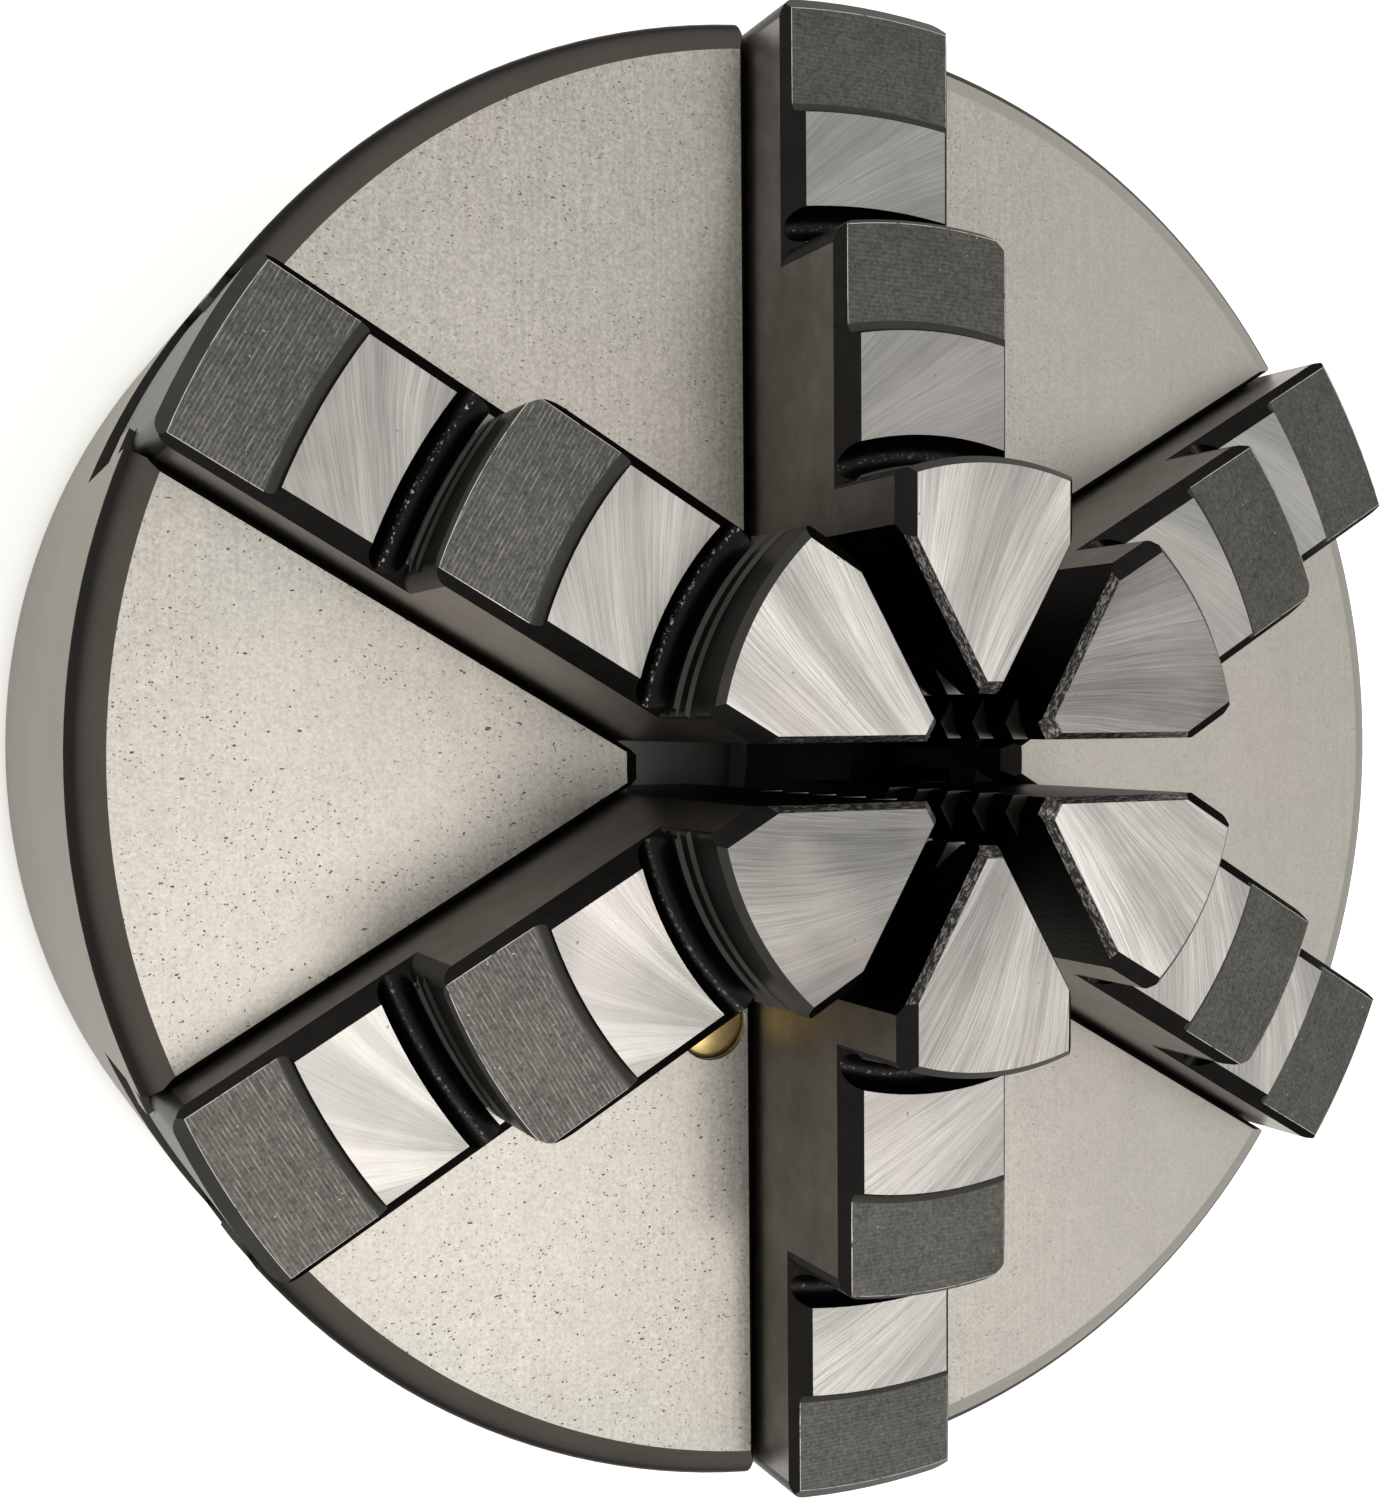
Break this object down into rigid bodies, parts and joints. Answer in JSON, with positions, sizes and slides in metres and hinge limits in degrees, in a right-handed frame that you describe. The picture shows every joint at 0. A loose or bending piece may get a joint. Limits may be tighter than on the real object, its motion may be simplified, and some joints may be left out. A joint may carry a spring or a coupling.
{
  "type": "lathe chuck",
  "caption": "Self-centring scroll lathe chuck with stepped jaws in radial slots, a spiral scroll plate, bevel key pinions, a screwed back cover and a brass oil plug.",
  "frame": {"origin": "centre of the back face, on the spindle axis", "axes": "+Z along the spindle axis towards the jaws, +Y along jaw_1, +X along pinion_1's socket"},
  "size_m": [0.125, 0.125, 0.083],
  "materials": {
    "body": "ground front face, turned rim and side",
    "cover": "turned",
    "scroll": "hardened, turned thread and cut bevel teeth",
    "pinion": "hardened",
    "jaw": "hardened, blackened steps with ground lands",
    "screw": "black oxide",
    "oil_plug": "turned brass"
  },
  "bodies": {
    "housing": {"chuck_body": "body", "back_cover": "cover", "oil_plug": "oil_plug", "cover_screw_1": "screw", "cover_screw_2": "screw", "cover_screw_3": "screw", "cover_screw_4": "screw", "cover_screw_5": "screw", "cover_screw_6": "screw", "pinion_retainer_1": "screw", "pinion_retainer_2": "screw", "pinion_retainer_3": "screw"},
    "scroll": {"scroll_plate": "scroll"},
    "key_pinion_1": {"pinion_1": "pinion"},
    "key_pinion_2": {"pinion_2": "pinion"},
    "key_pinion_3": {"pinion_3": "pinion"},
    "chuck_jaw_1": {"jaw_1": "jaw"},
    "chuck_jaw_2": {"jaw_2": "jaw"},
    "chuck_jaw_3": {"jaw_3": "jaw"},
    "chuck_jaw_4": {"jaw_4": "jaw"},
    "chuck_jaw_5": {"jaw_5": "jaw"},
    "chuck_jaw_6": {"jaw_6": "jaw"}
  },
  "joints": [
    {"name": "scroll_spin", "type": "hinge", "parent": "housing", "child": "scroll", "pos_m": [0, 0, 0.03], "axis": [0, 0, 1], "range_deg": [-630, 180]},
    {"name": "pinion_1_spin", "type": "hinge", "parent": "housing", "child": "key_pinion_1", "pos_m": [0.04, 0, 0.0198], "axis": [-1, 0, 0], "range_deg": [-3360, 960]},
    {"name": "pinion_2_spin", "type": "hinge", "parent": "housing", "child": "key_pinion_2", "pos_m": [-0.02, 0.03464, 0.0198], "axis": [0.5, -0.866, 0], "range_deg": [-3360, 960]},
    {"name": "pinion_3_spin", "type": "hinge", "parent": "housing", "child": "key_pinion_3", "pos_m": [-0.02, -0.03464, 0.0198], "axis": [0.5, 0.866, 0], "range_deg": [-3360, 960]},
    {"name": "jaw_1_slide", "type": "slide", "parent": "housing", "child": "chuck_jaw_1", "axis": [0, -1, 0], "range_m": [-0.014, 0.004]},
    {"name": "jaw_2_slide", "type": "slide", "parent": "housing", "child": "chuck_jaw_2", "axis": [-0.866, -0.5, 0], "range_m": [-0.014, 0.004]},
    {"name": "jaw_3_slide", "type": "slide", "parent": "housing", "child": "chuck_jaw_3", "axis": [-0.866, 0.5, 0], "range_m": [-0.014, 0.004]},
    {"name": "jaw_4_slide", "type": "slide", "parent": "housing", "child": "chuck_jaw_4", "axis": [0, 1, 0], "range_m": [-0.014, 0.004]},
    {"name": "jaw_5_slide", "type": "slide", "parent": "housing", "child": "chuck_jaw_5", "axis": [0.866, 0.5, 0], "range_m": [-0.014, 0.004]},
    {"name": "jaw_6_slide", "type": "slide", "parent": "housing", "child": "chuck_jaw_6", "axis": [0.866, -0.5, 0], "range_m": [-0.014, 0.004]}
  ],
  "couplings": [
    {"joint": "pinion_1_spin", "follows": "scroll_spin", "ratio": 5.3333},
    {"joint": "pinion_2_spin", "follows": "scroll_spin", "ratio": 5.3333},
    {"joint": "pinion_3_spin", "follows": "scroll_spin", "ratio": 5.3333},
    {"joint": "jaw_1_slide", "follows": "scroll_spin", "m_per_rad": 0.0012732},
    {"joint": "jaw_2_slide", "follows": "scroll_spin", "m_per_rad": 0.0012732},
    {"joint": "jaw_3_slide", "follows": "scroll_spin", "m_per_rad": 0.0012732},
    {"joint": "jaw_4_slide", "follows": "scroll_spin", "m_per_rad": 0.0012732},
    {"joint": "jaw_5_slide", "follows": "scroll_spin", "m_per_rad": 0.0012732},
    {"joint": "jaw_6_slide", "follows": "scroll_spin", "m_per_rad": 0.0012732}
  ]
}
